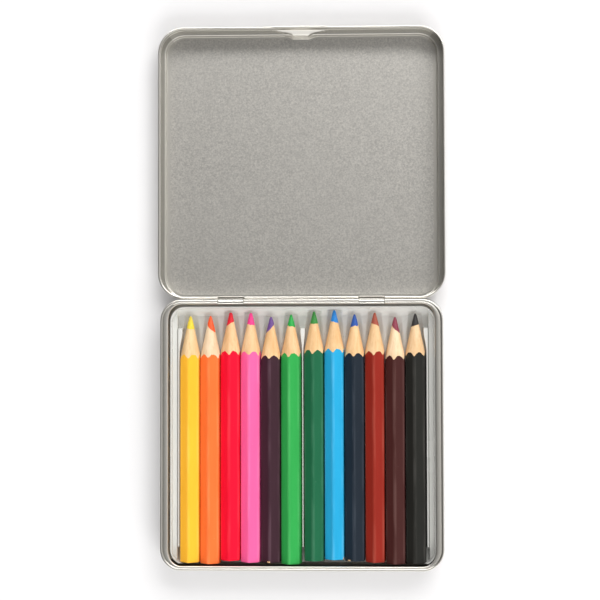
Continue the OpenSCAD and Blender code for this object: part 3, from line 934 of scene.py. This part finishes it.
def build_pencil(i):
    """Pencil i, with unevenness drawn from its own seed."""
    lean, way = LOOKS[i][5:]
    rng = np.random.default_rng(100 + i)
    directions = turned(i)
    length = PENCIL_LENGTH + LENGTH_SHIFT[i] + BUTT_OUT
    leaning = lean * np.cos(directions - math.radians(way))
    core_edge = CORE_R + leaning + wobble(rng, directions, 0.02, (3, 5, 7))
    edge = HEX_RADII.mean() + SCALLOP * (HEX_RADII - HEX_RADII.mean())
    paint_t = cone_t(edge) + wobble(rng, directions, 0.10, (4, 9, 15, 22))
    build_casing(i, length, core_edge, paint_t)
    build_core(i, length, core_edge, rng)


for i in range(PENCILS):
    build_pencil(i)

# ---- tray
TRAY_END = TRAY_DEPTH / 2
# centre of the tray's corner, from its middle
TRAY_CORNER = (TRAY_HALF - TRAY_R, TRAY_END - TRAY_R)
CREST = PENCIL_Z - CREST_DROP
RIDGE_TOP = PENCIL_Z + RIDGE_RISE
# the sheet's top face at its lowest, and on top of the low wall behind the butts
TRAY_FLOOR = TRAY_BOTTOM + TRAY_SHEET
WALL_TOP = 0.85
# the finger channels' floor, and where it starts at each side
LEDGE_Z = TRAY_H - CHANNEL_DEPTH
SIDE_LEDGE = WELL_SIDE + 0.35
# the dish from the edge down to the grooves: its run at the tips, sides and butts, and its depth
END_RUN = 4.2
SIDE_RUN = 1.3
BUTT_RUN = 0.12
DISH_DROP = 0.6
# a groove's clearance under a cone, its extra depth under the tip, and where that starts and its run
CONE_GAP = 0.42
TIP_DEEPER = 2.0
DEEPER_FROM = 13
DEEPER_RUN = 9
# a groove's radius past the tip, and its slope outside that radius
TIP_GROOVE_R = 2.4
FLARE = 3
# the crests sink by this near the tips' end; their fillets, and how much those grow there
CREST_SINK = 0.3
CREST_FILLET = 0.35
FILLET_GROWTH = 1.3
# where the ribs rise behind the butts and fall at the tips
RIB_START = (-39.95, -39.55)
RIB_STOP = (37.9, 38.3)
# half width of the middle rib and how far the side strips stand in, and by how much both widen at the tips
RIB_HALF = 0.26
RIB_WIDER = 0.55
STRIP_IN = 0.42
STRIP_WIDER = 0.95
# stretches before the tips' end, where the crests sink and where the ribs widen
SINK_RUN = (15, 4)
WIDEN_RUN = (16, 9)
# rows past this place bend in with the corners
TRAY_SPLIT = 38.0
# rows and columns this far to each side of the edge
EDGE_STEP = 0.02
# rows are sparse up to here, and never closer than ROW_GAP
TRAY_MIDDLE = 28
ROW_GAP = 0.03


def smooth_min(a, b, k):
    """The lower of two heights, with a fillet of size k where they meet."""
    h = np.clip(0.5 + 0.5 * (b - a) / k, 0, 1)
    return b + (a - b) * h - k * h * (1 - h)


def concave(w, top, low):
    """A quarter-round hollow from top, at w = 0, to low, at w = 1."""
    w = np.clip(w, 0, 1)
    return top - (top - low) * np.sqrt(1 - (1 - w) ** 2)


def before_end(stretch, y):
    """Rises from 0 to 1 over a stretch given as two distances before the tips' end."""
    return smoothstep(TRAY_END - stretch[0], TRAY_END - stretch[1], y)


def way_in(ax, ay):
    """Distance inwards from the tray's outline, and how far that outline faces sideways (0 to 1)."""
    cx, cy = TRAY_CORNER
    qx, qy = np.maximum(ax - cx, 0), np.maximum(ay - cy, 0)
    rho = np.hypot(qx, qy)
    from_side, from_end = TRAY_HALF - ax, TRAY_END - ay
    u = np.where((qx > 0) & (qy > 0), TRAY_R - rho, np.minimum(from_side, from_end))
    sideways = np.where(rho > 1e-9, qx / np.maximum(rho, 1e-9), 0)
    inside = smoothstep(0, 1, from_end / (from_side + 1e-9) - 1)
    return u, np.where((qx == 0) & (qy == 0), inside, sideways)


def groove_height(i, x, y):
    """The hollow that pencil i lies in; past its tip it rises to the tray's edge."""
    dx = x - (pencil_x(i) - TRAY_SHIFT)
    tip = tip_y(i) - TRAY_Y
    t = tip - y
    inner_end = TRAY_END - EDGE_LAND
    clear = CONE_GAP + TIP_DEEPER * smoothstep(0, 1, (DEEPER_FROM - t) / DEEPER_RUN)
    low_body = PENCIL_Z - np.minimum(GROOVE_R, cone_r(np.maximum(t, 0)) + clear)
    low_tip = PENCIL_Z - cone_r(0) - CONE_GAP - TIP_DEEPER
    low_end = low_tip + (TRAY_H - low_tip) * smoothstep(-0.1, 1, (y - tip) / (inner_end - tip)) ** 0.8
    low = np.maximum(np.where(t > 0, low_body, low_end), TRAY_FLOOR)
    narrowed = TIP_GROOVE_R + (GROOVE_R - TIP_GROOVE_R) * smoothstep(-1, CONE_LENGTH, t)
    radius = np.where(t > CONE_LENGTH, GROOVE_R, narrowed)
    hollow = low + radius - np.sqrt(np.maximum(radius ** 2 - dx ** 2, 0))
    return np.where(np.abs(dx) >= radius, low + radius + FLARE * (np.abs(dx) - radius), hollow)


def rib_share(ax, y):
    """1 on the middle rib and on the strips beside the outer pencils, 0 off them."""
    long_way = smoothstep(*RIB_START, y) * (1 - smoothstep(*RIB_STOP, y))
    widen = before_end(WIDEN_RUN, y)
    half = RIB_HALF + RIB_WIDER * widen
    rib = (1 - smoothstep(half - 0.05, half + 0.16, ax)) * long_way
    inner = WELL_SIDE - STRIP_IN - STRIP_WIDER * widen
    outer = 1 - smoothstep(SIDE_LEDGE - 0.08, SIDE_LEDGE + 0.2, ax)
    return np.maximum(rib, smoothstep(inner - 0.04, inner + 0.14, ax) * outer * long_way)


def tray_height_at(x, y):
    """Height of the sheet's top face and distance in from its edge, with x and y from the tray's middle."""
    ax, ay = np.abs(x), np.abs(y)
    u, sideways = way_in(ax, ay)
    at_tips = y > 0
    run = np.where(at_tips, END_RUN + (SIDE_RUN - END_RUN) * sideways ** 2,
                   BUTT_RUN + (SIDE_RUN - BUTT_RUN) * smoothstep(0.6, 1.0, sideways))
    # crests, the dish down from the edge, and the channels' floor
    near = before_end(SINK_RUN, y)
    dish = concave((u - EDGE_LAND) / run, TRAY_H, CREST - DISH_DROP)
    dish = np.where(at_tips | (ax > WELL_SIDE - 0.3), dish, -9)
    height = np.maximum(CREST - CREST_SINK * near, dish)
    height = np.maximum(height, smoothstep(SIDE_LEDGE - 0.05, SIDE_LEDGE + 0.25, ax) * LEDGE_Z)
    for i in range(PENCILS):
        height = smooth_min(height, groove_height(i, x, y), CREST_FILLET + FILLET_GROWTH * near)
    height = np.maximum(height, TRAY_FLOOR)
    height = height + (RIDGE_TOP - height) * rib_share(ax, y)
    height = np.where(u < EDGE_LAND, TRAY_H, height)
    # between the strips, the edge behind the butts is a low wall
    low_wall = (y < 0) * (TRAY_END - ay < EDGE_LAND) * (1 - smoothstep(WELL_SIDE - 0.9, WELL_SIDE - 0.3, ax))
    return height + (WALL_TOP - height) * low_wall, u


def tray_columns():
    """Places of the grid's columns, from the tray's middle."""
    cx, edge = TRAY_CORNER[0], TRAY_HALF - EDGE_LAND
    outer = cx + TRAY_R * np.sin(np.radians(np.linspace(0, 90, 56)))
    outer = np.concatenate([outer, [edge - EDGE_STEP, edge + EDGE_STEP]])
    outer = np.array(sorted(set(np.round(outer, 5))))
    half = np.concatenate([np.linspace(0, 1.0, 13)[1:-1], np.linspace(1.0, cx, 136)[:-1], outer])
    return np.concatenate([-half[::-1], [0.0], half])


def tray_rows():
    """Places of the grid's rows, from the tray's middle: closer at the tips, the ends and the ribs' ends."""
    edge = TRAY_END - EDGE_LAND
    rows = np.concatenate([
        np.linspace(-TRAY_SPLIT, -TRAY_MIDDLE, 6), np.linspace(-TRAY_MIDDLE, TRAY_MIDDLE, 13),
        np.linspace(TRAY_MIDDLE, TRAY_SPLIT, 24),
        -np.linspace(TRAY_SPLIT, TRAY_END, 40), np.linspace(TRAY_SPLIT, TRAY_END, 56),
        np.linspace(-40.1, -39.4, 8), np.linspace(37.8, 38.4, 5),
        [side * (edge + step) for side in (-1, 1) for step in (-EDGE_STEP, EDGE_STEP)],
    ])
    kept = []
    for row in sorted(set(np.round(rows, 4))):
        if not kept or row - kept[-1] > ROW_GAP:
            kept.append(row)
    kept[-1] = TRAY_END
    return np.array(kept)


def build_tray():
    """The formed tray: a grid of heights with its underside and the edge between them."""
    cx, cy = TRAY_CORNER
    xs, rows = tray_columns(), tray_rows()
    past = np.maximum(TRAY_R ** 2 - (np.abs(xs) - cx) ** 2, 0)
    reach = np.where(np.abs(xs) > cx, cy + np.sqrt(past), TRAY_END)
    grid_x = np.repeat(xs[:, None], len(rows), axis=1)
    stretch = np.abs(rows)[None, :]
    squeezed = TRAY_SPLIT + (stretch - TRAY_SPLIT) * (reach[:, None] - TRAY_SPLIT) / (TRAY_END - TRAY_SPLIT)
    grid_y = np.sign(rows)[None, :] * np.where(stretch > TRAY_SPLIT, squeezed, stretch)
    top, u = tray_height_at(grid_x, grid_y)
    under = np.where(u < EDGE_LAND, TRAY_BOTTOM, np.maximum(top - TRAY_SHEET, TRAY_BOTTOM))
    verts = np.concatenate([np.stack([grid_x + TRAY_SHIFT, grid_y + TRAY_Y, z], axis=-1).reshape(-1, 3)
                            for z in (top, under)])
    a, b = grid_x.shape
    index = np.arange(a * b).reshape(a, b)
    quads = np.stack([index[:-1, :-1], index[1:, :-1], index[1:, 1:], index[:-1, 1:]], axis=-1)
    quads = quads.reshape(-1, 4).tolist()
    faces = [tuple(q) for q in quads] + [tuple(v + a * b for v in reversed(q)) for q in quads]
    edge = np.concatenate([index[:, 0], index[-1, 1:], index[-2::-1, -1], index[0, -2:0:-1]]).tolist()
    for p, q in zip(edge, edge[1:] + edge[:1]):
        faces.append((q, p, p + a * b, q + a * b))
    tray = add_mesh("tray_formed", verts, faces, [PLASTIC], None, 40)
    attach(tray, "tray")
    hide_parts("tray")


build_tray()

# ---- stage, light and camera, in metres
FLOOR_HALF = 1.6
# just under the tin's own floor
FLOOR_Z = -0.00006


def build_floor():
    """The plain surface under the tin."""
    cuts = 9
    steps = np.linspace(-FLOOR_HALF, FLOOR_HALF, cuts)
    verts = [(x, y, FLOOR_Z) for x in steps for y in steps]
    faces = [(i * cuts + j, (i + 1) * cuts + j, (i + 1) * cuts + j + 1, i * cuts + j + 1)
             for i in range(cuts - 1) for j in range(cuts - 1)]
    mesh = bpy.data.meshes.new("floor")
    mesh.from_pydata(verts, [], faces)
    t = material_tree("floor_paint")
    cloud = t.noise(6.0, 2.0)
    t.set(Base_Color=t.blend(cloud, 0.3, 0.7, 1.0, (0.785, 0.78, 0.79, 1), (0.80, 0.795, 0.805, 1)))
    t.set(Roughness=0.8, Specular_IOR_Level=0.1)
    mesh.materials.append(t.owner)
    floor = bpy.data.objects.new("floor", mesh)
    bpy.context.scene.collection.objects.link(floor)


build_floor()

# the colour of all light, and the world's strength before its ramps
WARM_WHITE = (1.0, 0.995, 0.985)
EVEN_LIGHT = 0.245
sky = Tree(bpy.data.worlds.new("studio"), "Background")
bpy.context.scene.world = sky.owner
where = sky.add("ShaderNodeTexCoord")
parts = sky.add("ShaderNodeSeparateXYZ")
sky.links.new(where.outputs["Generated"], parts.inputs[0])
# brighter in front, behind and on the right, and darker on the left and at the very ends
fore = sky.math("ABSOLUTE", parts.outputs["Y"])
glow = sky.math("ADD", sky.ramp(fore, 0.52, 0.90, 0.0, 1.1), sky.ramp(fore, 0.86, 0.99, 0.0, -0.85))
front = sky.ramp(sky.math("MULTIPLY", parts.outputs["Y"], -1.0), 0.6, 0.95, 0.0, 0.3)
right = sky.ramp(parts.outputs["X"], 0.02, 0.62, 0.0, 0.36)
left = sky.ramp(sky.math("MULTIPLY", parts.outputs["X"], -1.0), 0.12, 0.62, 0.0, -0.20)
strength = sky.math("ADD", sky.math("ADD", EVEN_LIGHT, glow), left)
strength = sky.math("ADD", strength, sky.math("ADD", front, right))
sky.set(Strength=strength, Color=WARM_WHITE + (1.0,))


def soft_light(name, place, size, energy, glossy=False):
    """A rectangular soft light that faces the tin's middle and gives either sheen or diffuse light."""
    light = bpy.data.lights.new(name, "AREA")
    light.shape = "RECTANGLE"
    light.size, light.size_y = size
    light.energy = energy
    light.color = WARM_WHITE
    obj = bpy.data.objects.new(name, light)
    bpy.context.scene.collection.objects.link(obj)
    obj.location = place
    x, y, z = (-v for v in place)
    obj.rotation_euler = (math.atan2(math.hypot(x, y), -z), 0, math.atan2(y, x) - math.pi / 2)
    obj.visible_glossy = glossy
    obj.visible_diffuse = not glossy


soft_light("softbox", (0.22, 1.00, 0.76), (2.0, 0.30), 13.9, glossy=True)
soft_light("back", (0.34, 0.90, 0.80), (1.2, 0.7), 10.2)
soft_light("front", (0.34, -0.95, 0.75), (1.2, 0.7), 9.6)
soft_light("fill", (0.20, 0.0, 1.25), (1.6, 1.6), 1.8)
soft_light("side", (-0.75, -0.1, 0.55), (0.8, 0.8), 2.2)

camera = bpy.data.cameras.new("camera")
camera.sensor_width = 36.0
camera.lens = 79.90
camera.clip_start = 0.01
camera.clip_end = 20.0
camera_obj = bpy.data.objects.new("camera", camera)
bpy.context.scene.collection.objects.link(camera_obj)
camera_obj.location = (0.0150343, -0.0168152, 0.480)
camera_obj.rotation_euler = (0.0324, 0.0328, -0.0023)
bpy.context.scene.camera = camera_obj
bpy.context.scene.view_settings.view_transform = "Standard"
